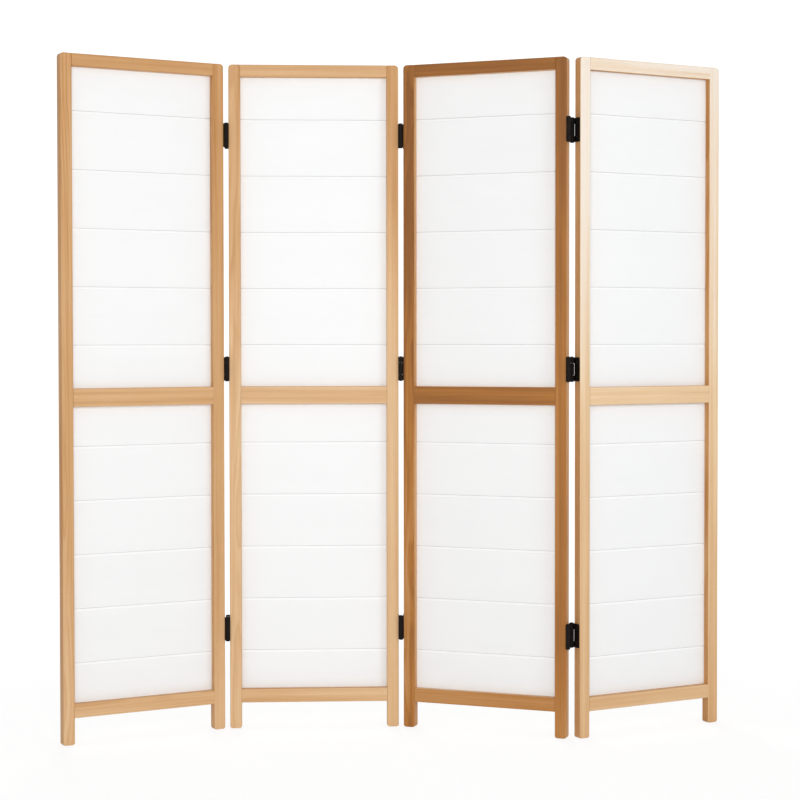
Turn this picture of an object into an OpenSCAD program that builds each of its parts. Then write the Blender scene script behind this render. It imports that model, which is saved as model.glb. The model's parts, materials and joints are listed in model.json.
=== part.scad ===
// Folding room divider of four framed panels.
// Each panel is a wooden frame with two bays of lying boards, and its stiles run down as legs.
// Neighbouring panels are joined by three double-action hinges. Each hinge has a leaf on either
// stile and a link plate between them, with a pin in front of the panels and one behind them,
// so a panel folds on to its neighbour to either side.
// +X runs to the right along the screen, +Y to its back and +Z up. The origin is on the floor, in
// the middle of the opened screen's length and depth. Lengths are in millimetres.

/* [Screen] */
// Height of a panel from the floor to its top
panel_h = 1700; // [1500:10:2000]
// Width of a panel over its two stiles
panel_w = 434; // [340:2:600]

/* [Frame] */
// Width of a stile seen from the front
stile_w = 30; // [26:1:45]
// Thickness of the frame from front to back
frame_t = 25; // [22:1:36]
// Height of the top rail
top_rail_h = 31; // [24:1:60]
// Height of the middle rail
mid_rail_h = 45; // [28:1:70]
// Height of the bottom rail
bottom_rail_h = 35; // [26:1:70]
// Clear height of a leg below the bottom rail
leg_h = 66; // [30:1:140]
// Clear height of the lower bay of boards
lower_bay_h = 733; // [560:1:780]
// Rounding of a stile's outer corner at the top
top_round = 9; // [3:0.5:14]
// Rounding of a leg's two corners at the floor
foot_round = 6; // [2:0.5:10]
// Rounding of the long edges of stiles and rails
edge_round = 2; // [0.8:0.2:3]

/* [Rail joints] */
// Length of a rail's tenon
tenon_l = 16; // [10:1:20]
// Thickness of a rail's tenon
tenon_t = 8; // [5:0.5:10]
// Set-back of a tenon's top and bottom from those of its rail
tenon_shoulder = 6; // [4:0.5:9]
// Clearance of a tenon in its mortise, on each side
tenon_gap = 0.1; // [0.05:0.05:0.3]

/* [Boards] */
// Thickness of a board
board_t = 4; // [3.6:0.2:5]
// Depth of a board's face behind the frame's front
board_inset = 18; // [14:0.5:18]
// Height of a full board in the upper bay
upper_board_h = 144; // [90:1:180]
// Height of a full board in the lower bay
lower_board_h = 134; // [90:1:180]
// Least height of the cut boards at a bay's top and bottom
end_board_min = 40; // [30:1:60]
// Depth of the frame's groove for the boards
groove_d = 8; // [5:0.5:9]
// Clearance of a board in the groove, on each side
groove_gap = 0.2; // [0.1:0.05:0.4]
// Height of the sloped edge along a board's top
bevel_h = 6.5; // [2:0.5:9]
// Depth of the sloped edge along a board's top
bevel_d = 1.4; // [0.6:0.1:1.6]
// Open joint between two boards
board_gap = 0.6; // [0.4:0.1:1.2]
// Height of a board's tongue
tongue_h = 3; // [2:0.5:5]
// Thickness of a board's tongue
tongue_t = 1.2; // [1:0.1:1.4]
// Clearance of a tongue in the next board
tongue_gap = 0.15; // [0.1:0.05:0.3]

/* [Hinges] */
// Space between two panels that stand in line
panel_gap = 11; // [10:0.5:14]
// Height of a hinge
hinge_h = 60; // [44:1:90]
// Distance of a pin in front of, or behind, the panels' faces
pin_out = 4; // [4:0.2:6]
// Radius of a knuckle
knuckle_r = 6; // [5:0.1:6]
// Radius of a hinge pin
pin_r = 2.2; // [1.6:0.1:2.8]
// Radial clearance of a pin in a leaf's knuckles
pin_gap = 0.06; // [0.03:0.01:0.1]
// Height of each of a leaf's two knuckles
leaf_knuckle_h = 15; // [10:1:18]
// Space between two knuckles
knuckle_gap = 0.4; // [0.3:0.1:1]
// Thickness of a leaf
leaf_t = 2; // [1.6:0.1:2.6]
// Thickness of a link plate
link_t = 2.5; // [2:0.1:3]
// Thickness of a pin's head
pin_head_t = 1.6; // [1:0.1:3]
// Radius of a pin's head
pin_head_r = 5; // [4:0.1:5.6]
// Distance from the panel's top to the middle of the top hinge
top_hinge_drop = 180; // [100:1:260]
// Height of the middle of the middle hinge above the floor
mid_hinge_z = 924; // [860:1:1000]
// Height of the middle of the bottom hinge above the floor
low_hinge_z = 257; // [180:1:400]

/* [Hinge screws] */
// Height between a leaf's two screws
screw_pitch = 36; // [24:1:40]
// Radius of a screw's shank
screw_r = 1.7; // [1.2:0.1:2]
// Radius of a screw's head
screw_head_r = 3.6; // [3:0.1:4]
// Length of a screw in the wood
screw_l = 16; // [10:1:20]
// Clearance of a screw in its hole
screw_gap = 0.05; // [0.03:0.01:0.1]

/* [Pose] */
// Turn of the second panel to the front, on the front pin
turn_1 = 26; // [0:1:170]
// Turn of the third panel to the front, on the front pin
turn_2 = 24; // [0:1:90]
// Turn of the fourth panel to the back, on the back pin
turn_3 = 50; // [0:1:170]
// Turn of the whole screen about the vertical
heading = 28.5; // [0:0.5:45]

/* [Hidden] */
$fn = 48;
cut = 1;              // how far a cutting shape runs past the face it opens
round_steps = 5;      // flats in a rounded edge
bore_gap = 0.02;      // clearance of a pin in the link, which holds it

lower_z = leg_h + bottom_rail_h;
mid_z = lower_z + lower_bay_h;
upper_z = mid_z + mid_rail_h;
upper_bay_h = panel_h - top_rail_h - upper_z;
bay_w = panel_w - 2 * stile_w;

groove_y = board_inset - groove_gap;
groove_t = board_t + 2 * groove_gap;
tenon_y = (board_inset - tenon_t) / 2;
board_w = bay_w + 2 * (groove_d - groove_gap);

knuckle_y = -pin_out;
pin_span = frame_t + 2 * pin_out;
link_knuckle_h = hinge_h - 2 * (leaf_knuckle_h + knuckle_gap);
leaf_d = frame_t - 2 * edge_round;
hinge_zs = [low_hinge_z, mid_hinge_z, panel_h - top_hinge_drop];
mid_gap = panel_gap / 2;

wood = [0.85, 0.69, 0.51];
paint = [0.95, 0.95, 0.95];
black = [0.06, 0.05, 0.04];
steel = [0.2, 0.19, 0.18];

PANELS = [1, 2, 3, 4];
JOINTS = [1, 2, 3];
LEVELS = ["low", "mid", "top"];

// The screen's four panels and three joints stand in a row of turns. A frame is [x, y, angle]:
// where a panel's front left corner is, and the way its front runs.
function turned(p, a) = [p[0] * cos(a) - p[1] * sin(a), p[0] * sin(a) + p[1] * cos(a)];
function placed(f, p) = [f[0], f[1]] + turned(p, f[2]);
function front_pin() = [panel_w + mid_gap, knuckle_y];
function back_pin() = [panel_w + mid_gap, frame_t + pin_out];
// The frame that a pin at p carries, for a frame f turned by a about it.
function swung(f, p, a) = concat(placed(f, p - turned(p, a)), f[2] + a);
function shifted(f, x) = concat(placed(f, [x, 0]), f[2]);

function link_frame(j) = swung(raw_frame(j), front_pin(), j == 1 ? -turn_1 : j == 2 ? -turn_2 : 0);
function raw_frame(i) = i == 1 ? [0, 0, heading]
    : shifted(swung(link_frame(i - 1), back_pin(), i == 4 ? turn_3 : 0), panel_w + panel_gap);

// The corners of the panels in plan give the screen's middle.
corners = [for (i = PANELS) each [for (x = [0, panel_w]) each [for (y = [0, frame_t])
    placed(raw_frame(i), [x, y])]]];
pin_places = [for (j = JOINTS) each [placed(raw_frame(j), front_pin()), placed(link_frame(j), back_pin())]];
xs = [for (c = corners) c[0]];
ys_low = concat([for (c = corners) c[1]], [for (p = pin_places) p[1] - knuckle_r]);
ys_high = concat([for (c = corners) c[1]], [for (p = pin_places) p[1] + knuckle_r]);
middle = [(min(xs) + max(xs)) / 2, (min(ys_low) + max(ys_high)) / 2];

function centred(f) = [f[0] - middle[0], f[1] - middle[1], f[2]];
function panel_frame(i) = centred(raw_frame(i));

module at_frame(f) translate([f[0], f[1], 0]) rotate([0, 0, f[2]]) children();
module on_panel(i) at_frame(panel_frame(i)) children();
module on_link(j) at_frame(centred(link_frame(j))) children();

// Where the pins and the panels are, as the joints need them.
echo(front_pins = [for (j = JOINTS) placed(panel_frame(j), front_pin())]);
echo(back_pins = [for (j = JOINTS) placed(centred(link_frame(j)), back_pin())]);
echo(panel_frames = [for (i = PANELS) panel_frame(i)]);

// A quarter circle of radius r about c, from angle a, as points.
function arc(c, r, a) = [for (k = [0:round_steps]) c + r * [cos(a + 90 * k / round_steps),
                                                           sin(a + 90 * k / round_steps)]];

// A rectangle from the origin with its corners rounded by the radii [low left, low right,
// high right, high left].
module rounded(w, h, r) polygon(concat(
    arc([r[0], r[0]], r[0], 180), arc([w - r[1], r[1]], r[1], 270),
    arc([w - r[2], h - r[2]], r[2], 0), arc([r[3], h - r[3]], r[3], 90)));

// --- Frame -------------------------------------------------------------------------------

// A stile of the left side: its outer edge is at x = 0 and its inner edge at x = stile_w.
module stile_body() intersection() {
    linear_extrude(panel_h) rounded(stile_w, frame_t, edge_round * [1, 1, 1, 1]);
    translate([0, frame_t, 0]) rotate([90, 0, 0]) linear_extrude(frame_t)
        rounded(stile_w, panel_h, [foot_round, foot_round, edge_round, top_round]);
}

// The hole for a rail's tenon; z and h are the rail's.
module mortise(z, h) translate([stile_w - tenon_l - tenon_gap, tenon_y - tenon_gap,
                                z + tenon_shoulder - tenon_gap])
    cube([tenon_l + tenon_gap + cut, tenon_t + 2 * tenon_gap, h - 2 * (tenon_shoulder - tenon_gap)]);

// The groove that holds a bay's boards, which runs a little way past the bay behind its rails.
module stile_groove(z, h) translate([stile_w - groove_d, groove_y, z - groove_d])
    cube([groove_d + cut, groove_t, h + 2 * groove_d]);

// Pilot holes in a stile's outer edge for the screws of its hinge leaves.
module pilots() for (z = hinge_zs, s = [-1, 1]) translate([-cut, frame_t / 2, z + s * screw_pitch / 2])
    rotate([0, 90, 0]) cylinder(h = screw_l + cut, r = screw_r + screw_gap);

module stile(hinged) difference() {
    stile_body();
    mortise(leg_h, bottom_rail_h);
    mortise(mid_z, mid_rail_h);
    mortise(upper_z + upper_bay_h, top_rail_h);
    stile_groove(lower_z, lower_bay_h);
    stile_groove(upper_z, upper_bay_h);
    if (hinged) pilots();
}

module left_stile(i) color(wood) on_panel(i) stile(i > 1);
module right_stile(i) color(wood) on_panel(i) translate([panel_w, 0, 0]) mirror([1, 0, 0]) stile(i < 4);

// A rail with a tenon at each end and a groove for the boards in its top or bottom.
module rail(i, z, h, groove_above, groove_below) color(wood) on_panel(i) translate([stile_w, 0, z])
    difference() {
        union() {
            rotate([90, 0, 90]) linear_extrude(bay_w) rounded(frame_t, h, edge_round * [1, 1, 1, 1]);
            translate([-tenon_l, tenon_y, tenon_shoulder])
                cube([bay_w + 2 * tenon_l, tenon_t, h - 2 * tenon_shoulder]);
        }
        if (groove_above) translate([-cut, groove_y, h - groove_d])
            cube([bay_w + 2 * cut, groove_t, groove_d + cut]);
        if (groove_below) translate([-cut, groove_y, -cut])
            cube([bay_w + 2 * cut, groove_t, groove_d + cut]);
    }

module top_rail(i) rail(i, upper_z + upper_bay_h, top_rail_h, false, true);
module mid_rail(i) rail(i, mid_z, mid_rail_h, true, true);
module bottom_rail(i) rail(i, leg_h, bottom_rail_h, true, false);

// --- Boards ------------------------------------------------------------------------------

tongue_y = bevel_d + (board_t - bevel_d - tongue_t) / 2;

// A board's section, [depth, height], with a sloped edge and a tongue on top and a groove below.
// The lowest board has no groove and the highest no slope or tongue.
function board_section(h, groove, crest) = concat(
    [[0, 0]],
    crest ? [[0, h - bevel_h], [bevel_d, h], [tongue_y, h], [tongue_y, h + tongue_h],
             [tongue_y + tongue_t, h + tongue_h], [tongue_y + tongue_t, h]] : [[0, h]],
    [[board_t, h], [board_t, 0]],
    groove ? [[tongue_y + tongue_t + tongue_gap, 0], [tongue_y + tongue_t + tongue_gap, tongue_h + board_gap],
              [tongue_y - tongue_gap, tongue_h + board_gap], [tongue_y - tongue_gap, 0]] : []);

// The boards of a bay from height z, of height h: as many full ones as leave room for two cut
// boards, which run into the grooves of the rails.
module boards(i, z, h, full_h) {
    full = floor((h - 2 * end_board_min) / full_h);
    end_h = (h - full * full_h) / 2;
    tuck = groove_d - groove_gap;
    color(paint) on_panel(i) translate([(panel_w - board_w) / 2, board_inset, z])
        for (k = [0:full + 1]) {
            low = k == 0 ? -tuck : end_h + (k - 1) * full_h + board_gap / 2;
            high = k == full + 1 ? h + tuck : end_h + k * full_h - board_gap / 2;
            translate([0, 0, low]) rotate([90, 0, 90]) linear_extrude(board_w)
                polygon(board_section(high - low, k > 0, k <= full));
        }
}

module lower_boards(i) boards(i, lower_z, lower_bay_h, lower_board_h);
module upper_boards(i) boards(i, upper_z, upper_bay_h, upper_board_h);

// --- Hinges ------------------------------------------------------------------------------

function hinge_z(level) = hinge_zs[search([level], LEVELS)[0]];

// A leaf as it lies on a stile's edge at x = 0, with its knuckles about the pin at
// [panel_gap / 2, -pin_out]. Its middle is cut away for the link's knuckle.
module leaf() difference() {
    union() {
        translate([0, edge_round, -hinge_h / 2]) cube([leaf_t, leaf_d, hinge_h]);
        for (s = [-1, 1]) translate([0, 0, s * (hinge_h - leaf_knuckle_h) / 2 - leaf_knuckle_h / 2]) {
            translate([0, knuckle_y, 0]) cube([leaf_t, edge_round + pin_out, leaf_knuckle_h]);
            translate([mid_gap, knuckle_y, 0]) cylinder(h = leaf_knuckle_h, r = knuckle_r);
        }
    }
    translate([mid_gap, knuckle_y, -hinge_h / 2 - cut])
        cylinder(h = hinge_h + 2 * cut, r = pin_r + pin_gap);
    translate([mid_gap, knuckle_y, -link_knuckle_h / 2 - knuckle_gap])
        cylinder(h = link_knuckle_h + 2 * knuckle_gap, r = knuckle_r + knuckle_gap);
    for (s = [-1, 1]) translate([0, frame_t / 2, s * screw_pitch / 2]) rotate([0, 90, 0]) {
        translate([0, 0, -cut]) cylinder(h = leaf_t + 2 * cut, r = screw_r + screw_gap);
        cylinder(h = leaf_t, r1 = screw_r + screw_gap, r2 = screw_head_r + screw_gap);
    }
}

// The leaf on the right stile of the panel before a joint, with its knuckles in front.
module front_leaf(j, level) color(black) on_panel(j)
    translate([panel_w, 0, hinge_z(level)]) leaf();

// The leaf on the left stile of the panel after a joint, with its knuckles behind.
module back_leaf(j, level) color(black) on_panel(j + 1)
    translate([0, frame_t, hinge_z(level)]) rotate([0, 0, 180]) leaf();

// A pin with a head at either end.
module pin() {
    cylinder(h = hinge_h + 2 * knuckle_gap + pin_head_t, r = pin_r, center = true);
    for (s = [-1, 1]) translate([0, 0, s * (hinge_h / 2 + knuckle_gap + pin_head_t / 2)])
        cylinder(h = pin_head_t, r = pin_head_r, center = true);
}

// The link plate with a knuckle at each of its two pins.
module link(j, level) color(black) on_link(j)
    translate([panel_w + mid_gap, knuckle_y, hinge_z(level)]) {
        difference() {
            union() {
                translate([-link_t / 2, 0, -link_knuckle_h / 2]) cube([link_t, pin_span, link_knuckle_h]);
                for (y = [0, pin_span]) translate([0, y, 0])
                    cylinder(h = link_knuckle_h, r = knuckle_r, center = true);
            }
            for (y = [0, pin_span]) translate([0, y, 0])
                cylinder(h = link_knuckle_h + 2 * cut, r = pin_r + bore_gap, center = true);
        }
        for (y = [0, pin_span]) translate([0, y, 0]) pin();
    }

// A countersunk screw that runs to -x, with its head's flat at x = leaf_t.
module screw() rotate([0, 90, 0]) {
    translate([0, 0, -screw_l + screw_gap]) cylinder(h = screw_l + leaf_t - screw_gap, r = screw_r);
    cylinder(h = leaf_t, r1 = screw_r, r2 = screw_head_r);
}

module edge_screws() for (z = hinge_zs, s = [-1, 1])
    translate([0, frame_t / 2, z + s * screw_pitch / 2]) screw();

module hinge_screws(i) color(steel) on_panel(i) {
    if (i < 4) translate([panel_w, 0, 0]) edge_screws();
    if (i > 1) mirror([1, 0, 0]) edge_screws();
}

// --- Nodes -------------------------------------------------------------------------------

for (i = PANELS) {
    left_stile(i);
    right_stile(i);
    top_rail(i);
    mid_rail(i);
    bottom_rail(i);
    upper_boards(i);
    lower_boards(i);
    hinge_screws(i);
}
for (j = JOINTS) for (l = LEVELS) {
    front_leaf(j, l);
    link(j, l);
    back_leaf(j, l);
}
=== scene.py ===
"""Folding room divider of four framed panels with white boards, joined by double-action hinges.

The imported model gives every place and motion. This scene gives the stiles, rails, boards and hinges
their finished surfaces. Lengths are in metres, with +X to the right, +Y to the back and +Z up.
"""

import json

import bpy
import numpy as np
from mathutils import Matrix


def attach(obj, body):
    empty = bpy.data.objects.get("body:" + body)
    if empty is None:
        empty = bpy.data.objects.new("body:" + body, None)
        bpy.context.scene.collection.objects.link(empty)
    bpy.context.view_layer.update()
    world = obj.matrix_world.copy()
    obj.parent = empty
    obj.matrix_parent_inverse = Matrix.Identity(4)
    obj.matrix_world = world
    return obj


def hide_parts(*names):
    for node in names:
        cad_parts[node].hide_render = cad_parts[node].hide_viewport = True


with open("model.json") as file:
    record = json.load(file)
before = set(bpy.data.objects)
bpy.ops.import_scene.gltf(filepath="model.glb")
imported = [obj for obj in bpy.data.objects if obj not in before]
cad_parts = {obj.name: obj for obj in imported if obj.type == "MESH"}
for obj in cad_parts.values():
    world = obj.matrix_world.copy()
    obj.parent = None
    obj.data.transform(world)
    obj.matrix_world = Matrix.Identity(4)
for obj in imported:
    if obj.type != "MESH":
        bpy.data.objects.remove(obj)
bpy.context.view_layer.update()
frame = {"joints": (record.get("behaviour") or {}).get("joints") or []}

# --- Camera ----------------------------------------------------------------------------------
# The photograph is taken from 4.8 m in front of the screen, at a little over half its height,
# and looks down by a degree and a half. The lens is long, so the panels show little perspective.

IMAGE_PIXELS = 800
FOCAL_PIXELS = 1900
CENTRE_PIXEL = (390, 388)
SENSOR_MM = 36
CAMERA_PLACE = (-0.056, -4.803, 1.0)
LOOK_DOWN = 1.476
LOOK_RIGHT = 0.443
CAMERA_ROLL = 0.063

lens = bpy.data.cameras.new("photograph")
lens.sensor_width = SENSOR_MM
lens.lens = FOCAL_PIXELS / IMAGE_PIXELS * SENSOR_MM
lens.shift_x = (IMAGE_PIXELS / 2 - CENTRE_PIXEL[0]) / IMAGE_PIXELS
lens.shift_y = (CENTRE_PIXEL[1] - IMAGE_PIXELS / 2) / IMAGE_PIXELS
camera = bpy.data.objects.new("photograph", lens)
camera.location = CAMERA_PLACE
camera.rotation_euler = np.radians((90 - LOOK_DOWN, CAMERA_ROLL, -LOOK_RIGHT))
bpy.context.collection.objects.link(camera)
bpy.context.scene.camera = camera
bpy.context.scene.view_settings.view_transform = "Standard"


# --- Floor, backdrop and light ---------------------------------------------------------------
# A white sweep of studio paper lies flat under the screen and curves up behind it. A broad soft
# lamp behind the camera lights the front, with a key lamp at the right, and another the back.
# White walls fill in the rest.


class Finish:
    """The node tree of a material or of the world, which lays its own nodes."""

    def __init__(self, owner):
        owner.use_nodes = True
        self.owner = owner
        self.tree = owner.node_tree

    def node(self, kind, settings=None, inputs=None, output=0):
        """One node: its settings first, then the value or link of each socket. Gives an output.

        A ramp's stops are a setting too: pairs of a place and a colour.
        """
        made = self.tree.nodes.new(kind)
        for key, value in (settings or {}).items():
            if key == "stops":
                ramp = made.color_ramp.elements
                while len(ramp) < len(value):
                    ramp.new(1.0)
                for stop, (place, colour) in zip(ramp, value):
                    stop.position = place
                    stop.color = (*colour, 1.0)
            else:
                setattr(made, key, value)
        for key, value in (inputs or {}).items():
            self.feed(made.inputs[key], value)
        return Signal(self, made.outputs[output])

    def feed(self, socket, value):
        """A socket takes a link from a signal, or else the value itself."""
        if isinstance(value, Signal):
            self.tree.links.new(value.socket, socket)
        elif socket.type == "RGBA":
            socket.default_value = (*value, 1.0)
        else:
            socket.default_value = value

    def dress(self, **sockets):
        """Feeds the material's own shader, by the names of its sockets with _ for a space."""
        shader = self.tree.nodes["Principled BSDF"]
        for name, value in sockets.items():
            self.feed(shader.inputs[name.replace("_", " ")], value)
        return self.owner


class Signal:
    """An output socket. An expression of signals and numbers lays the Math nodes for it."""

    def __init__(self, finish, socket):
        self.finish = finish
        self.socket = socket

    def math(self, operation, first, second=0.0):
        sockets = {0: first, 1: second}
        return self.finish.node("ShaderNodeMath", {"operation": operation}, sockets)

    def __add__(self, other):
        return self.math("ADD", self, other)

    def __radd__(self, other):
        return self.math("ADD", other, self)

    def __sub__(self, other):
        return self.math("SUBTRACT", self, other)

    def __rsub__(self, other):
        return self.math("SUBTRACT", other, self)

    def __mul__(self, other):
        return self.math("MULTIPLY", self, other)

    def __rmul__(self, other):
        return self.math("MULTIPLY", other, self)

    def __truediv__(self, other):
        return self.math("DIVIDE", self, other)

    def __rtruediv__(self, other):
        return self.math("DIVIDE", other, self)

    def larger(self, other):
        """The larger of two values."""
        return self.math("MAXIMUM", self, other)

    def fraction(self):
        """What is left over the whole number below."""
        return self.math("FRACT", self)

    def above(self, low, high):
        """0 below low, 1 above high, and an even slope between them."""
        sockets = {"Value": self, "From Min": low, "From Max": high}
        return self.finish.node("ShaderNodeMapRange", {"clamp": True}, sockets)

    def colour(self, low, high):
        """The colour that runs from low where the signal is 0 to high where it is 1.

        A Mix node takes its colours at sockets 6 and 7, and gives them at its third output.
        """
        sockets = {0: self, 6: low, 7: high}
        return self.finish.node("ShaderNodeMix", {"data_type": "RGBA"}, sockets, 2)

    def stretched(self, scale):
        """A vector with its three parts multiplied by scale."""
        sockets = {0: self, 1: scale}
        return self.finish.node("ShaderNodeVectorMath", {"operation": "MULTIPLY"}, sockets)

    def length(self):
        """How long a vector is."""
        settings = {"operation": "LENGTH"}
        return self.finish.node("ShaderNodeVectorMath", settings, {0: self}, "Value")

    def noise(self, scale, detail=2.0, rough=0.5):
        """Soft random values about 0.5, for a vector signal."""
        sockets = {"Vector": self, "Scale": scale, "Detail": detail, "Roughness": rough}
        return self.finish.node("ShaderNodeTexNoise", None, sockets)

    def bump(self, strength, distance):
        """The normal of a surface whose height is the signal."""
        sockets = {"Strength": strength, "Distance": distance, "Height": self}
        return self.finish.node("ShaderNodeBump", None, sockets)


def from_srgb(red, green, blue):
    """The linear colour of an 8-bit screen colour, by the two-part sRGB curve."""
    shade = np.array((red, green, blue)) / 255
    return tuple(np.where(shade <= 0.04045, shade / 12.92, ((shade + 0.055) / 1.055) ** 2.4))


def skin(rows, ring=False):
    """The points and faces of a closed skin over rows of points, an array (rows, points, 3).

    Point j of a row is joined to point j + 1, and the last to the first. Each row is joined to the
    next. With ring the last row is joined to the first, and otherwise both ends are capped. Faces
    point outwards where the row's direction crossed with the way to the next row does.
    """
    count, points = rows.shape[:2]
    index = np.arange(count * points).reshape(count, points)
    low = index if ring else index[:-1]
    high = np.roll(index, -1, 0) if ring else index[1:]
    quads = np.stack([low, np.roll(low, -1, 1), np.roll(high, -1, 1), high], -1)
    faces = quads.reshape(-1, 4).tolist()
    if not ring:
        faces += [index[0, ::-1].tolist(), index[-1].tolist()]
    return rows.reshape(-1, 3), faces


def made_mesh(name, skins, material, smooth_angle=40):
    """One object from several skins, with smooth shading across edges below smooth_angle."""
    starts = np.cumsum([0] + [len(points) for points, _ in skins])
    points = np.concatenate([points for points, _ in skins])
    faces = [[v + start for v in face] for (_, some), start in zip(skins, starts) for face in some]
    mesh = bpy.data.meshes.new(name)
    mesh.from_pydata(points.tolist(), [], faces)
    mesh.polygons.foreach_set("use_smooth", np.ones(len(faces), bool))
    mesh.set_sharp_from_angle(angle=np.radians(smooth_angle))
    mesh.materials.append(material)
    piece = bpy.data.objects.new(name, mesh)
    bpy.context.collection.objects.link(piece)
    return piece


def looked_at(finish):
    """1 where the camera, a gloss or a glass looks, and 0 for the light that falls on things."""
    path = finish.tree.nodes.new("ShaderNodeLightPath")
    rays = ("Camera", "Glossy", "Transmission")
    camera, gloss, glass = (Signal(finish, path.outputs[f"Is {ray} Ray"]) for ray in rays)
    return camera.larger(gloss).larger(glass)


PAPER_HALF_WIDTH = 9.0
PAPER_FRONT = -9.0
PAPER_BACK = 6.0
PAPER_CURVE = 2.5
PAPER_BEND_ROWS = 16
PAPER_TOP = 9.0
PAPER_WHITE = 0.9
PAPER_GLOW = 0.7
GLOW_STRENGTH = 1.12
SHADOW_REACH = (1.2, 3.2)

paper = Finish(bpy.data.materials.new("white_paper"))
paper.dress(Base_Color=(PAPER_WHITE,) * 3, Roughness=0.9, Specular_IOR_Level=0.1)
glow = paper.node("ShaderNodeEmission", None, {"Color": (1, 1, 1), "Strength": GLOW_STRENGTH})
matt = Signal(paper, paper.tree.nodes["Principled BSDF"].outputs[0])
# the paper glows less round the screen, where its own light shows with the screen's shadow
from_screen = paper.node("ShaderNodeTexCoord", output="Object").length()
glow_share = PAPER_GLOW + from_screen.above(*SHADOW_REACH) * (1 - PAPER_GLOW)
mixed = {0: looked_at(paper) * glow_share, 1: matt, 2: glow}
paper_shader = paper.node("ShaderNodeMixShader", None, mixed)
paper.feed(paper.tree.nodes["Material Output"].inputs["Surface"], paper_shader)

# the sweep's section: flat, a quarter circle about (PAPER_BACK, PAPER_CURVE), then upright
quarter = np.linspace(0, np.pi / 2, PAPER_BEND_ROWS)
bend_y = PAPER_BACK + PAPER_CURVE * np.sin(quarter)
bend_z = PAPER_CURVE * (1 - np.cos(quarter))
section_y = np.concatenate([[PAPER_FRONT], bend_y, bend_y[-1:]])
section_z = np.concatenate([[0.0], bend_z, [PAPER_TOP]])
sides = np.array([-PAPER_HALF_WIDTH, PAPER_HALF_WIDTH])
sweep = np.stack(np.broadcast_arrays(sides[None, :], section_y[:, None], section_z[:, None]), -1)
number = np.arange(sweep.shape[0] * 2).reshape(-1, 2)
sweep_faces = np.stack([number[:-1, 0], number[:-1, 1], number[1:, 1], number[1:, 0]], -1)
backdrop = made_mesh("paper_sweep", [(sweep.reshape(-1, 3), sweep_faces.tolist())], paper.owner)

WALL_LIGHT = 0.49

air = Finish(bpy.data.worlds.new("white_walls"))
bpy.context.scene.world = air.owner
walls = air.tree.nodes["Background"]
air.feed(walls.inputs["Color"], (1.0, 1.0, 1.0))
air.feed(walls.inputs["Strength"], WALL_LIGHT + looked_at(air) * (1.0 - WALL_LIGHT))


def soft_lamp(name, place, aim, size, watts):
    """A rectangular soft lamp at place whose face looks at aim."""
    panel = bpy.data.lights.new(name, "AREA")
    panel.shape = "RECTANGLE"
    panel.size, panel.size_y = size
    panel.energy = watts
    lamp = bpy.data.objects.new(name, panel)
    lamp.location = place
    way = np.array(aim) - np.array(place)
    yaw = np.arctan2(-way[0], way[1])
    pitch = np.arctan2(way[2], np.hypot(way[0], way[1]))
    lamp.rotation_euler = (np.pi / 2 + pitch, 0.0, yaw)
    bpy.context.collection.objects.link(lamp)


soft_lamp("key_lamp", place=(3.4, -3.0, 2.1), aim=(0.0, 0.0, 0.85), size=(1.4, 1.8), watts=28)
soft_lamp("fill_lamp", place=(-0.1, -5.2, 1.5), aim=(0.0, 0.0, 0.8), size=(2.0, 2.0), watts=104)
soft_lamp("back_lamp", place=(-0.8, 5.2, 2.2), aim=(0.0, 0.0, 0.9), size=(2.0, 2.0), watts=105)


# --- Stiles ----------------------------------------------------------------------------------
# Each panel stands on two stiles of light softwood, planed square, with their long edges eased.
# The outer top corner and the foot are rounded over, and a groove inside takes the boards' ends.

PANELS = (1, 2, 3, 4)
PANEL_WIDTH = 0.434
PANEL_HEIGHT = 1.7
FRAME_DEPTH = 0.025
STILE_WIDTH = 0.03
EDGE_RADIUS = 0.002
TOP_RADIUS = 0.009
FOOT_RADIUS = 0.006
END_EASING = 0.0008
LEG_HEIGHT = 0.066
BOTTOM_RAIL = 0.035
MIDDLE_RAIL = 0.045
TOP_RAIL = 0.031
LOWER_BAY = (LEG_HEIGHT + BOTTOM_RAIL, 0.834)
UPPER_BAY = (LOWER_BAY[1] + MIDDLE_RAIL, PANEL_HEIGHT - TOP_RAIL)
GROOVE_DEPTH = 0.008
GROOVE = (0.0178, 0.0222)
GAP_HALF = 0.0055
PIN_OUT = 0.004
HEADING_1 = 28.5
TURNS = {2: -26.0, 3: -24.0, 4: 50.0}

pins = {joint["name"]: np.array(joint["pos_m"][:2]) for joint in frame["joints"]}
headings = {1: np.radians(HEADING_1)}
for panel in PANELS[1:]:
    headings[panel] = headings[panel - 1] + np.radians(TURNS[panel])


def turned(angle, points):
    """Points turned about the vertical through the origin by angle."""
    cos, sin = np.cos(angle), np.sin(angle)
    turn = np.array([[cos, -sin, 0.0], [sin, cos, 0.0], [0.0, 0.0, 1.0]])
    return points @ turn.T


def panel_corner(panel):
    """The floor point at a panel's front left: a pin's place less its place seen from the panel."""
    if panel < PANELS[-1]:
        pin, seen = pins[f"front_pin_{panel}"], (PANEL_WIDTH + GAP_HALF, -PIN_OUT, 0.0)
    else:
        pin, seen = pins[f"back_pin_{panel - 1}"], (-GAP_HALF, FRAME_DEPTH + PIN_OUT, 0.0)
    return np.array([*pin, 0.0]) - turned(headings[panel], np.array(seen))


def on_panel(panel, points):
    """Points given from a panel's front left corner, moved to where the panel stands."""
    return turned(headings[panel], points) + panel_corner(panel)


FLAT_FROM = 1.1


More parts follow.
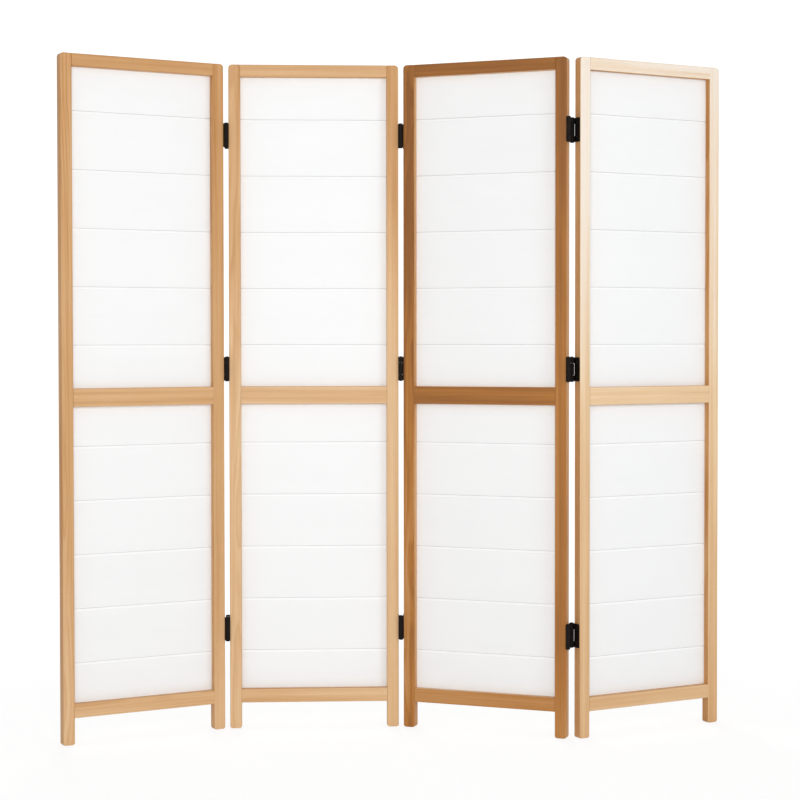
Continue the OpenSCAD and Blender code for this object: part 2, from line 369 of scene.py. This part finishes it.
def softened(corners, radius, steps=5):
    """A closed outline, an array (..., corners, 2), with each corner rounded.

    The curve is C + (1 - sin t) b + (1 - cos t) a for t from 0 to 90 degrees, where b and a run a
    radius back and ahead from the corner C: a quarter circle at a square corner. One more point on
    either side, FLAT_FROM radii out, keeps the flats flat in smooth shading.
    """
    size = np.broadcast_to(radius, corners.shape[:-1])[..., None]
    back = np.roll(corners, 1, -2) - corners
    ahead = np.roll(corners, -1, -2) - corners
    back = back / np.linalg.norm(back, axis=-1, keepdims=True) * size
    ahead = ahead / np.linalg.norm(ahead, axis=-1, keepdims=True) * size
    swing = np.linspace(0, np.pi / 2, steps + 1)
    weight_back = np.concatenate([[FLAT_FROM], 1 - np.sin(swing), [0.0]])
    weight_ahead = np.concatenate([[0.0], 1 - np.cos(swing), [FLAT_FROM]])
    curve = (
        corners[..., None, :]
        + back[..., None, :] * weight_back[:, None]
        + ahead[..., None, :] * weight_ahead[:, None]
    )
    return curve.reshape(*corners.shape[:-2], -1, 2)


def end_inset(height, radius):
    """How far a rounded end stands in from its side at a height h: r - sqrt(r^2 - (r - h)^2)."""
    short = np.clip(radius - height, 0.0, radius)
    return radius - np.sqrt(radius**2 - short**2)


END_ROWS = np.array([0.0, 0.1, 0.3, 0.6, 1.0, 1.6, 2.4, 3.4, 4.6, 6.0, 7.4, 9.0, 9.8]) / 1000
SHAFT_FROM_END = 0.14
SHAFT_ROWS = 9
GROOVE_STEP = 0.00005


def stile_rows():
    """The rows of a left stile, from the floor up.

    A row is the eased section with a notch for the groove in its inner side. Near the ends the
    sides stand in by the rounding of the corners. The notch is open only along the two bays, and
    elsewhere its four points lie in the side. It opens and closes between two rows a groove step
    apart.
    """
    grooves = [(low - GROOVE_DEPTH, high + GROOVE_DEPTH) for low, high in (LOWER_BAY, UPPER_BAY)]
    groove_ends = np.array([(a, a + GROOVE_STEP, b - GROOVE_STEP, b) for a, b in grooves]).ravel()
    shaft = np.linspace(SHAFT_FROM_END, PANEL_HEIGHT - SHAFT_FROM_END, SHAFT_ROWS)
    z = np.sort(np.concatenate([END_ROWS, groove_ends, shaft, PANEL_HEIGHT - END_ROWS]))
    top = PANEL_HEIGHT - z
    left = end_inset(z, FOOT_RADIUS) + end_inset(top, TOP_RADIUS)
    right = STILE_WIDTH - (end_inset(z, FOOT_RADIUS) + end_inset(top, EDGE_RADIUS))
    front = end_inset(np.minimum(z, top), END_EASING)
    back = FRAME_DEPTH - front
    corners = np.stack([left, front, right, front, right, back, left, back], -1).reshape(-1, 4, 2)
    outline = softened(corners, EDGE_RADIUS)
    is_open = np.any([(z > low) & (z < high) for low, high in grooves], 0)
    inside = right - np.where(is_open, GROOVE_DEPTH, 0.0)
    near, far = (np.full_like(z, edge) for edge in GROOVE)
    apart = np.where(is_open, 0.0, (far - near) / 3)
    notch = [right, near, inside, near + apart, inside, far - apart, right, far]
    notch = np.stack(notch, -1).reshape(-1, 4, 2)
    # half way round, the outline is on the inner side, between the front corner and the back one
    half = outline.shape[1] // 2
    ring = np.concatenate([outline[:, :half], notch, outline[:, half:]], 1)
    return np.concatenate([ring, np.broadcast_to(z[:, None, None], (*ring.shape[:2], 1))], -1)


WOOD_STOPS = [
    (0.0, from_srgb(243, 231, 217)),
    (0.2, from_srgb(233, 202, 162)),
    (0.4, from_srgb(217, 176, 130)),
    (0.6, from_srgb(201, 152, 100)),
    (0.8, from_srgb(176, 116, 54)),
    (1.0, from_srgb(138, 88, 44)),
]
LINE_WOOD = from_srgb(150, 102, 62)
END_WOOD = from_srgb(160, 114, 72)
RING_WIDTH = 0.0026
RING_BEND = 0.016
LATE_RISE = (0.35, 0.85)
LATE_FALL = (0.9, 1.0)
LATE_SHARE = 0.3
PORE_BAND = (0.66, 0.74)
STREAK_BAND = (0.6, 0.78)
WOOD_BUMP = (0.35, 0.00012)
# how far each pattern moves the wood along the stops
LATE_TONE = 0.1
STREAK_TONE = 0.46
CLOUD_TONE = 0.35
FIBRE_TONE = 0.16
# how fine each pattern is along, across and through a member
HEART_TAPER = (0.004, 1.0, 1.0)
WANDER_SCALE = (0.9, 9.0, 9.0)
FIBRE_SCALE = (7.0, 620.0, 620.0)
STREAK_SCALE = (1.1, 70.0, 70.0)
CLOUD_SCALE = (1.6, 9.0, 9.0)
PORE_SCALE = (26.0, 900.0, 900.0)

satin = Finish(bpy.data.materials.new("satin_softwood"))
grain = satin.node("ShaderNodeAttribute", {"attribute_name": "grain"}, output="Vector")
tone = satin.node("ShaderNodeAttribute", {"attribute_name": "tone"}, output="Fac")
cut_end = satin.node("ShaderNodeAttribute", {"attribute_name": "cut_end"}, output="Fac")
# growth rings: the distance from the heart of the tree, bent by slow waves along the member
wander = grain.stretched(WANDER_SCALE).noise(2.0)
heart = grain.stretched(HEART_TAPER).length()
ring = ((heart + wander * RING_BEND) / RING_WIDTH).fraction()
late_wood = ring.above(*LATE_RISE) * (1 - ring.above(*LATE_FALL))
fibre = grain.stretched(FIBRE_SCALE).noise(1.0, 3.0, 0.6)
streak = grain.stretched(STREAK_SCALE).noise(1.0, 3.0, 0.55)
cloud = grain.stretched(CLOUD_SCALE).noise(1.0)
pore = grain.stretched(PORE_SCALE).noise(1.0, 1.0).above(*PORE_BAND)
# the place along the stops, with the painted light and shade that each piece stores
depth_of_tone_and_painted_light = (
    tone
    + (late_wood - LATE_SHARE) * LATE_TONE
    + (streak - 0.5) * STREAK_TONE
    + (cloud - 0.5) * CLOUD_TONE
    + (fibre - 0.5) * FIBRE_TONE
)
plain = satin.node("ShaderNodeValToRGB", {"stops": WOOD_STOPS}, {0: depth_of_tone_and_painted_light})
# pores and the darkest streaks show as fine brown lines
lined = (pore * 0.15 + streak.above(*STREAK_BAND) * 0.16).colour(plain, LINE_WOOD)
# fibres and late wood stand up a little, and pores sink
wood_relief = fibre * 0.6 + late_wood * 0.5 - pore * 0.4
softwood = satin.dress(
    Base_Color=(cut_end * 0.75).colour(lined, END_WOOD),
    Roughness=0.4 + fibre * 0.12 + cut_end * 0.2,
    Specular_IOR_Level=0.25,
    Normal=wood_relief.bump(*WOOD_BUMP),
)

LOT = 20261
# painted light and shade on each panel's front, from the floor to the top: the first two painted
# darker towards the top, the third painted dark all over as it faces away from the key lamp, and the
# fourth painted pale at its top as if washed by light
PAINTED_LIGHT_TONE = {1: (0.44, 0.6), 2: (0.35, 0.54), 3: (0.75, 1.0), 4: (0.4, -0.06)}
# the sides past the rounded edges keep one middle value, without painted light
CORE_TONE = 0.6
TONE_SPREAD = 0.02
TRUNK = (1, 40)
FROM_HEART = (0.05, 0.12)
SAWN_DEPTH = 0.0004

lot = np.random.default_rng(LOT)


def give_grain(piece, along, across, through, ends, panel, height):
    """Stores where each point lies in the tree that its member was sawn from.

    The three lengths run along the member and across it. Each member starts at a random height in
    the trunk and 50 to 120 mm from its heart. Its front carries painted light and shade: its panel's
    pair of values, darker where the panel is turned from the lamps and paler where light washes it,
    runs from the first at the floor to the second at the top. Past its rounded edges it has the
    core's value, with no painted light. Ends are 1 on sawn ends.
    """
    angle, reach = lot.uniform(0, 2 * np.pi), lot.uniform(*FROM_HEART)
    place = np.stack([along + lot.uniform(*TRUNK), across + reach * np.cos(angle)], -1)
    place = np.concatenate([place, (through + reach * np.sin(angle))[:, None]], 1)
    painted_foot_tone, painted_top_tone = PAINTED_LIGHT_TONE[panel]
    front = painted_foot_tone + (painted_top_tone - painted_foot_tone) * height / PANEL_HEIGHT
    # 1 on the front, which takes the painted light and shade, falling to 0 across the rounded front
    # edges
    painted_light_share = np.clip(FLAT_FROM - through / EDGE_RADIUS, 0.0, 1.0)
    shade = CORE_TONE + (front - CORE_TONE) * painted_light_share + lot.normal(0, TONE_SPREAD)
    stored = piece.data.attributes
    stored.new("grain", "FLOAT_VECTOR", "POINT").data.foreach_set("vector", place.ravel())
    stored.new("tone", "FLOAT", "POINT").data.foreach_set("value", shade)
    stored.new("cut_end", "FLOAT", "POINT").data.foreach_set("value", ends)


left_rows = stile_rows()
right_rows = left_rows[:, ::-1] * (-1, 1, 1) + (PANEL_WIDTH, 0, 0)
for panel in PANELS:
    for side, rows in (("left", left_rows), ("right", right_rows)):
        points, faces = skin(rows)
        stile = made_mesh(f"stile_{side}_{panel}", [(on_panel(panel, points), faces)], softwood)
        from_end = np.minimum(points[:, 2], PANEL_HEIGHT - points[:, 2])
        sawn = (from_end < SAWN_DEPTH).astype(float)
        give_grain(stile, points[:, 2], points[:, 0], points[:, 1], sawn, panel, points[:, 2])
        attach(stile, f"panel_{panel}")
        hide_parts(f"{side}_stile_{panel}")


# --- Rails -----------------------------------------------------------------------------------
# Three rails of the same softwood join the stiles of a panel, tenoned and glued into them.
# Their edges are eased like the stiles', and the boards' ends lie in grooves of the same depth.

RAIL_END_EASING = 0.0002


def rail_rows(height, groove_above, groove_below):
    """The rows of a rail from its left end to its right, seen from its lowest front edge.

    The section is an eased rectangle with a notch in its top or bottom, carried along x. At both
    ends it stands in by a fraction of a millimetre, which shows as the joint's fine line.
    """
    near, far = GROOVE
    roof, floor = GROOVE_DEPTH, height - GROOVE_DEPTH
    below = [(near, 0.0), (near, roof), (far, roof), (far, 0.0)]
    above = [(far, height), (far, floor), (near, floor), (near, height)]
    square = np.array([(0, 0), (FRAME_DEPTH, 0), (FRAME_DEPTH, height), (0, height)])
    outline = softened(square, EDGE_RADIUS).reshape(4, -1, 2)
    parts = [outline[0]]
    parts += [np.array(below)] if groove_below else []
    parts += [outline[1], outline[2]]
    parts += [np.array(above)] if groove_above else []
    parts += [outline[3]]
    section = np.concatenate(parts)
    inset = np.array([RAIL_END_EASING, 0.0, 0.0, RAIL_END_EASING])
    length = PANEL_WIDTH - 2 * STILE_WIDTH
    x = STILE_WIDTH + np.array([0.0, RAIL_END_EASING, length - RAIL_END_EASING, length])
    shrunk = section - np.sign(section - section.mean(0)) * inset[:, None, None]
    return np.concatenate([np.broadcast_to(x[:, None, None], (4, len(section), 1)), shrunk], -1)


# from the floor to the rail's foot, its height, and whether it has a groove above and below
RAILS = {
    "bottom": (LEG_HEIGHT, BOTTOM_RAIL, True, False),
    "mid": (LOWER_BAY[1], MIDDLE_RAIL, True, True),
    "top": (UPPER_BAY[1], TOP_RAIL, False, True),
}
for panel in PANELS:
    for level, (foot, height, groove_above, groove_below) in RAILS.items():
        points, faces = skin(rail_rows(height, groove_above, groove_below) + (0, 0, foot))
        rail = made_mesh(f"rail_{level}_{panel}", [(on_panel(panel, points), faces)], softwood)
        hidden_ends = np.zeros(len(points))
        give_grain(rail, points[:, 0], points[:, 2], points[:, 1], hidden_ends, panel, points[:, 2])
        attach(rail, f"panel_{panel}")
        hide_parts(f"{level}_rail_{panel}")


# --- Boards ----------------------------------------------------------------------------------
# Six lying boards close each bay, painted matt white before they were slid into the grooves.
# Each has a sloped edge along its top and a tongue that runs up into the board above.

BOARD_THICK = 0.004
BOARD_FACE = 0.018
BOARD_TUCK = 0.0078
BEVEL_HEIGHT = 0.0065
BEVEL_DEPTH = 0.0014
BOARD_GAP = 0.0006
TONGUE = (0.0021, 0.0033)
TONGUE_HEIGHT = 0.003
TONGUE_PLAY = 0.00015
BOARD_EASING = 0.00024
UNDERSIDE = 0.0001
FULL_BOARD = {"upper": 0.144, "lower": 0.134}
BAYS = {"upper": UPPER_BAY, "lower": LOWER_BAY}


def board_rows(low, high, grooved, crested):
    """The rows of one board from its left end to its right, between two heights.

    The section runs round anticlockwise from the lowest front corner: along the bottom with its
    groove, up the back, over the tongue, and down the slope and the face. It is carried along x.
    """
    near, far = TONGUE[0] - TONGUE_PLAY, TONGUE[1] + TONGUE_PLAY
    roof = low + TONGUE_HEIGHT + BOARD_GAP
    tip = high + TONGUE_HEIGHT
    bottom = [(0.0, low)]
    if grooved:
        bottom += [(near, low), (near, roof), (far, roof), (far, low)]
    back = [(BOARD_THICK, low), (BOARD_THICK, high)]
    crest = [(0.0, high)]
    if crested:
        crest = [(TONGUE[1], high), (TONGUE[1], tip), (TONGUE[0], tip), (TONGUE[0], high)]
        crest += [(BEVEL_DEPTH, high), (0.0, high - BEVEL_HEIGHT)]
    section = softened(np.array(bottom + back + crest), BOARD_EASING, 3) + (BOARD_FACE, 0)
    x = np.array([STILE_WIDTH - BOARD_TUCK, PANEL_WIDTH - STILE_WIDTH + BOARD_TUCK])
    rows = np.broadcast_to(section, (2, *section.shape))
    return np.concatenate([np.broadcast_to(x[:, None, None], (2, len(section), 1)), rows], -1)


def board_seam(points, low, high, grooved, crested):
    """0 on a board's face and back, and an even rise up its slope to 1 at the joint above."""
    up_slope = np.clip((points[:, 2] - high) / BEVEL_HEIGHT + 1, 0.0, 1.0) * crested
    below = (points[:, 2] < low + UNDERSIDE) * float(grooved)
    in_front = points[:, 1] < BOARD_FACE + TONGUE[1] + TONGUE_PLAY
    return np.maximum(up_slope, below) * in_front


def bay_of_boards(bay, full):
    """The skins and seams of a bay's boards: four full ones between two that are cut alike."""
    low, high = bay
    cut = (high - low - 4 * full) / 2
    joints = low + cut + full * np.arange(5)
    starts = [low - BOARD_TUCK, *(joints + BOARD_GAP / 2)]
    ends = [*(joints - BOARD_GAP / 2), high + BOARD_TUCK]
    spans = [(a, b, k > 0, k < 5) for k, (a, b) in enumerate(zip(starts, ends))]
    skins = [skin(board_rows(*span)) for span in spans]
    seams = [board_seam(points, *span) for (points, _), span in zip(skins, spans)]
    return skins, np.concatenate(seams)


PAINT = (0.912, 0.917, 0.92)
PAINT_SHADE = (0.885, 0.892, 0.895)
# painted highlight: a whiter paint for the boards' slopes; painted shadow: grey for the joints
# between boards
SLOPE_HIGHLIGHT_PAINT = (0.965, 0.97, 0.975)
JOINT_SHADOW_PAINT = (0.62, 0.615, 0.61)
BRUSH_SCALE = (14.0, 520.0, 520.0)
RAISED_SCALE = (3.0, 90.0, 90.0)
PATCH_SCALE = (4.0, 12.0, 12.0)
SLOPE_HIGHLIGHT_BAND = (0.05, 0.3)
JOINT_SHADOW_BAND = (0.9, 0.98)
PAINT_BUMP = (0.25, 0.0001)

matt_paint = Finish(bpy.data.materials.new("matt_white_paint"))
board_spot = matt_paint.node("ShaderNodeAttribute", {"attribute_name": "grain"}, output="Vector")
brush = board_spot.stretched(BRUSH_SCALE).noise(1.0, 3.0, 0.6)
raised = board_spot.stretched(RAISED_SCALE).noise(1.0, 3.0, 0.55)
patch = board_spot.stretched(PATCH_SCALE).noise(1.0)
wear = (patch - 0.5) * 0.9 + (raised - 0.5) * 0.6 + 0.4
coat = wear.above(0.0, 1.0).colour(PAINT, PAINT_SHADE)
# painted highlight on each board's slope, whiter as if lit from above, and painted shadow in the
# joint above it
seam = matt_paint.node("ShaderNodeAttribute", {"attribute_name": "seam"}, output="Fac")
painted_slope_highlight = seam.above(*SLOPE_HIGHLIGHT_BAND).colour(coat, SLOPE_HIGHLIGHT_PAINT)
white_paint = matt_paint.dress(
    Base_Color=seam.above(*JOINT_SHADOW_BAND).colour(painted_slope_highlight, JOINT_SHADOW_PAINT),
    Roughness=0.55 + (brush - 0.5) * 0.15,
    Normal=(brush * 0.6 + raised).bump(*PAINT_BUMP),
)

for panel in PANELS:
    for level, bay in BAYS.items():
        skins, seams = bay_of_boards(bay, FULL_BOARD[level])
        placed = [(on_panel(panel, points), faces) for points, faces in skins]
        boards = made_mesh(f"boards_{level}_{panel}", placed, white_paint, 25)
        local = np.concatenate([points for points, _ in skins])
        board_of = np.repeat(np.arange(len(skins)), [len(points) for points, _ in skins])
        start = lot.uniform(*TRUNK, len(skins))[board_of]
        place = np.stack([local[:, 0] + start, local[:, 2] + start, local[:, 1]], -1)
        stored = boards.data.attributes
        stored.new("grain", "FLOAT_VECTOR", "POINT").data.foreach_set("vector", place.ravel())
        stored.new("seam", "FLOAT", "POINT").data.foreach_set("value", seams)
        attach(boards, f"panel_{panel}")
        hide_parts(f"{level}_boards_{panel}")


# --- Hinge leaves ----------------------------------------------------------------------------
# A steel leaf is screwed to the edge of each stile at a joint, three to a joint, enamelled black.
# It is a plate with two tabs that end in knuckles, in front on one panel and behind on the next.

JOINTS = (1, 2, 3)
HINGE_HEIGHTS = {"low": 0.257, "mid": 0.924, "top": 1.52}
HINGE_HALF = 0.03
LEAF_THICK = 0.002
LEAF_EDGES = (0.002, 0.023)
LEAF_KNUCKLE = 0.015
LEAF_EASING = 0.0004
BACK_ROUND = 0.0025
TAB_ROUND = 0.0004
NOTCH_ROUND = 0.0012
KNUCKLE_RADIUS = 0.006
KNUCKLE_EASING = 0.0005
BORE_RADIUS = 0.00226
HALF_TURN = (-1, -1, 1)


def plate_rows(corners, low, high, radius, easing):
    """A flat plate across x from low to high, with the outline of its corners in y and z.

    Both faces stand in from the edge by the easing: each corner moves by it towards the outline's
    inside, along the sum of the two inward normals of its sides.
    """
    ahead = np.roll(corners, -1, 0) - corners
    ahead = ahead / np.linalg.norm(ahead, axis=1, keepdims=True)
    normal = np.stack([-ahead[:, 1], ahead[:, 0]], -1)
    inward = normal + np.roll(normal, 1, 0)
    third = easing / 3
    inset = np.array([easing, third, 0.0, 0.0, third, easing])
    x = np.array([low, low + third, low + easing, high - easing, high - third, high])
    outline = softened(corners + inward * inset[:, None, None], radius, 4)
    return np.concatenate([np.broadcast_to(x[:, None, None], (*outline.shape[:2], 1)), outline], -1)


def tube_rows(centre, bore, low, high, around=32):
    """A knuckle about the vertical at centre: its section in radius and height, turned round.

    The section is a rectangle from the bore to the outside with its corners softened.
    """
    corners = [(bore, low), (KNUCKLE_RADIUS, low), (KNUCKLE_RADIUS, high), (bore, high)]
    easing = np.array([1 / 3, 1, 1, 1 / 3]) * KNUCKLE_EASING
    section = softened(np.array(corners), easing, 3)
    angle = np.arange(around)[:, None] * 2 * np.pi / around
    x = centre[0] + section[:, 0] * np.cos(angle)
    y = centre[1] + section[:, 0] * np.sin(angle)
    return np.stack([x, y, np.broadcast_to(section[:, 1], x.shape)], -1)[::-1]


def leaf_skins():
    """A leaf as it lies on a stile's edge at x = 0: the plate with its tabs, and two knuckles."""
    edge, back = LEAF_EDGES
    notch = HINGE_HALF - LEAF_KNUCKLE
    corners = [(back, -HINGE_HALF), (back, HINGE_HALF), (-PIN_OUT, HINGE_HALF), (-PIN_OUT, notch)]
    corners += [(edge, notch), (edge, -notch), (-PIN_OUT, -notch), (-PIN_OUT, -HINGE_HALF)]
    radius = np.repeat([BACK_ROUND, TAB_ROUND, NOTCH_ROUND, TAB_ROUND], 2)
    plate = plate_rows(np.array(corners), 0.0, LEAF_THICK, radius, LEAF_EASING)
    knuckles = [
        tube_rows((GAP_HALF, -PIN_OUT), BORE_RADIUS, low, low + LEAF_KNUCKLE)
        for low in (-HINGE_HALF, notch)
    ]
    return [skin(plate)] + [skin(rows, ring=True) for rows in knuckles]


ENAMEL = from_srgb(18, 14, 11)
WORN_ENAMEL = from_srgb(62, 38, 22)
SPECK_FINE = 900.0
RUB_FINE = 70.0
RUB_BAND = (0.56, 0.68)
SPECK_BAND = (0.42, 0.6)
ENAMEL_BUMP = (0.3, 0.0001)

enamel = Finish(bpy.data.materials.new("black_enamel"))
enamel_spot = enamel.node("ShaderNodeTexCoord", output="Object")
speck = enamel_spot.noise(SPECK_FINE, 2.0, 0.6)
rub = enamel_spot.noise(RUB_FINE, 4.0, 0.65)
worn = rub.above(*RUB_BAND) * speck.above(*SPECK_BAND)
black_enamel = enamel.dress(
    Base_Color=(worn * 0.6).colour(ENAMEL, WORN_ENAMEL),
    Roughness=0.58 + speck * 0.14 - worn * 0.08,
    Specular_IOR_Level=0.12,
    Normal=(speck + rub * 0.5).bump(*ENAMEL_BUMP),
)

for joint in JOINTS:
    for level, height in HINGE_HEIGHTS.items():
        to_right_edge, to_left_edge = (PANEL_WIDTH, 0, height), (0, FRAME_DEPTH, height)
        front = [(points + to_right_edge, faces) for points, faces in leaf_skins()]
        behind = [(points * HALF_TURN + to_left_edge, faces) for points, faces in leaf_skins()]
        for side, panel, skins in (("front", joint, front), ("back", joint + 1, behind)):
            placed = [(on_panel(panel, points), faces) for points, faces in skins]
            leaf = made_mesh(f"hinge_{side}_{joint}_{level}", placed, black_enamel)
            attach(leaf, f"panel_{panel}")
            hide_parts(f"{side}_leaf_{joint}_{level}")


# --- Link plates and pins --------------------------------------------------------------------
# A steel link with a knuckle at each end joins the two leaves of a hinge, enamelled like them.
# A pin with a riveted dome at each end passes through each of its knuckles and the leaf's two.

LINK_HALF = 0.0146
LINK_THICK = 0.0025
LINK_ROUND = 0.0004
PIN_SPAN = FRAME_DEPTH + 2 * PIN_OUT
PIN_RADIUS = 0.0022
PIN_PLAY = 0.00002
PIN_HEAD_RADIUS = 0.005
PIN_HEAD = 0.0016
HEAD_FOOT = 0.0304
HEAD_RIM = 0.0004
HEAD_UNDERCUT = 0.0003
DOME_FLAT = 0.06
LINK_TURNS = {1: TURNS[2], 2: TURNS[3], 3: 0.0}


def turned_rows(centre, profile, around=32):
    """A solid turned about the vertical at centre, from its radii and heights from below up."""
    angle = np.arange(around) * 2 * np.pi / around
    x = centre[0] + profile[:, :1] * np.cos(angle)
    y = centre[1] + profile[:, :1] * np.sin(angle)
    return np.stack([x, y, np.broadcast_to(profile[:, 1:], x.shape)], -1)


def pin_profile():
    """Radii and heights of a pin: a shank between two domes, each a flattened quarter circle.

    The dome's radius is R sin t and its height over the rim h cos t, for t from its flat tip to 90
    degrees.
    """
    lift = np.linspace(np.pi / 2, DOME_FLAT, 7)
    dome_height = HEAD_FOOT + HEAD_RIM + (PIN_HEAD - HEAD_RIM) * np.cos(lift)
    dome = np.stack([PIN_HEAD_RADIUS * np.sin(lift), dome_height], -1)
    shank = [(PIN_RADIUS, 0.0), (PIN_RADIUS, HEAD_FOOT)]
    under_head = [(PIN_HEAD_RADIUS - HEAD_UNDERCUT, HEAD_FOOT)]
    upper = np.concatenate([shank, under_head, dome])
    return np.concatenate([(upper * (1, -1))[:0:-1], upper])


def link_skins():
    """A link as it stands with its front pin at x = 0, y = 0: the plate, two knuckles, two pins."""
    corners = [(0.0, -LINK_HALF), (PIN_SPAN, -LINK_HALF), (PIN_SPAN, LINK_HALF), (0.0, LINK_HALF)]
    half = LINK_THICK / 2
    skins = [skin(plate_rows(np.array(corners), -half, half, LINK_ROUND, LEAF_EASING))]
    for y in (0.0, PIN_SPAN):
        tube = tube_rows((0.0, y), PIN_RADIUS + PIN_PLAY, -LINK_HALF, LINK_HALF)
        skins += [skin(tube, ring=True), skin(turned_rows((0.0, y), pin_profile()))]
    return skins


for joint in JOINTS:
    pin = np.array([*pins[f"front_pin_{joint}"], 0.0])
    way = headings[joint] + np.radians(LINK_TURNS[joint])
    for level, height in HINGE_HEIGHTS.items():
        at = pin + (0, 0, height)
        placed = [(turned(way, points) + at, faces) for points, faces in link_skins()]
        link = made_mesh(f"hinge_link_{joint}_{level}", placed, black_enamel)
        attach(link, f"link_{joint}")
        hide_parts(f"link_{joint}_{level}")


# --- Hinge screws ----------------------------------------------------------------------------
# Two countersunk wood screws hold each leaf, one above the other, blackened like the leaf.
# Their heads stand a hair proud of the plate and have a cross recess.

SCREW_PITCH = 0.036
SCREW_RADIUS = 0.0017
SCREW_HEAD = 0.0035
SCREW_LENGTH = 0.0159
SCREW_POINT = 0.002
COUNTERSINK = [(0.0032, 0.0017), (SCREW_HEAD, 0.0019)]
HEAD_RINGS = np.array([3.45, 3.2, 2.7, 2.25, 2.1, 1.7, 1.2, 0.8, 0.5, 0.2]) / 1000
HEAD_PROUD = 0.0004
RECESS_REACH = 0.0022
RECESS_HALF = 0.0005
RECESS_DEPTH = 0.00033
STEEL = from_srgb(38, 34, 31)
SCUFFED_STEEL = from_srgb(92, 84, 76)
SCUFF_FINE = 600.0
SCUFF_BAND = (0.4, 0.75)


def screw_rows(around=48):
    """A screw along x with its point at negative x: radii at places along it, turned round.

    The head is a low dome, HEAD_PROUD (1 - r^2 / R^2) over the leaf. A point of it sinks into the
    cross recess where it lies within half an arm's width of either arm and within the arms' reach.
    """
    tip = [(HEAD_RINGS[-1], -SCREW_LENGTH), (SCREW_RADIUS, SCREW_POINT - SCREW_LENGTH)]
    shank = np.array([*tip, (SCREW_RADIUS, 0.0), *COUNTERSINK])
    dome = LEAF_THICK + HEAD_PROUD * (1 - (HEAD_RINGS / SCREW_HEAD) ** 2)
    radius, x = np.concatenate([shank, np.stack([HEAD_RINGS, dome], -1)]).T[:, :, None]
    angle = np.arange(around) * 2 * np.pi / around
    across, up = radius * np.cos(angle), radius * np.sin(angle)
    in_arm = (np.minimum(abs(across), abs(up)) < RECESS_HALF) & (radius < RECESS_REACH)
    on_dome = x > LEAF_THICK
    return np.stack([x - np.where(in_arm & on_dome, RECESS_DEPTH, 0.0), across, up], -1)


dark_steel = Finish(bpy.data.materials.new("blackened_steel"))
scuff = dark_steel.node("ShaderNodeTexCoord", output="Object").noise(SCUFF_FINE, 3.0, 0.6)
blackened = dark_steel.dress(
    Base_Color=scuff.above(*SCUFF_BAND).colour(STEEL, SCUFFED_STEEL),
    Roughness=0.3 + scuff * 0.25,
    Metallic=0.85,
)

for panel in PANELS:
    points, faces = skin(screw_rows())
    placed = []
    for height in HINGE_HEIGHTS.values():
        for z in (height - SCREW_PITCH / 2, height + SCREW_PITCH / 2):
            if panel < PANELS[-1]:
                on_right_edge = points + (PANEL_WIDTH, FRAME_DEPTH / 2, z)
                placed.append((on_panel(panel, on_right_edge), faces))
            if panel > PANELS[0]:
                on_left_edge = points * HALF_TURN + (0.0, FRAME_DEPTH / 2, z)
                placed.append((on_panel(panel, on_left_edge), faces))
    screws = made_mesh(f"screws_{panel}", placed, blackened)
    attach(screws, f"panel_{panel}")
    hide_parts(f"hinge_screws_{panel}")
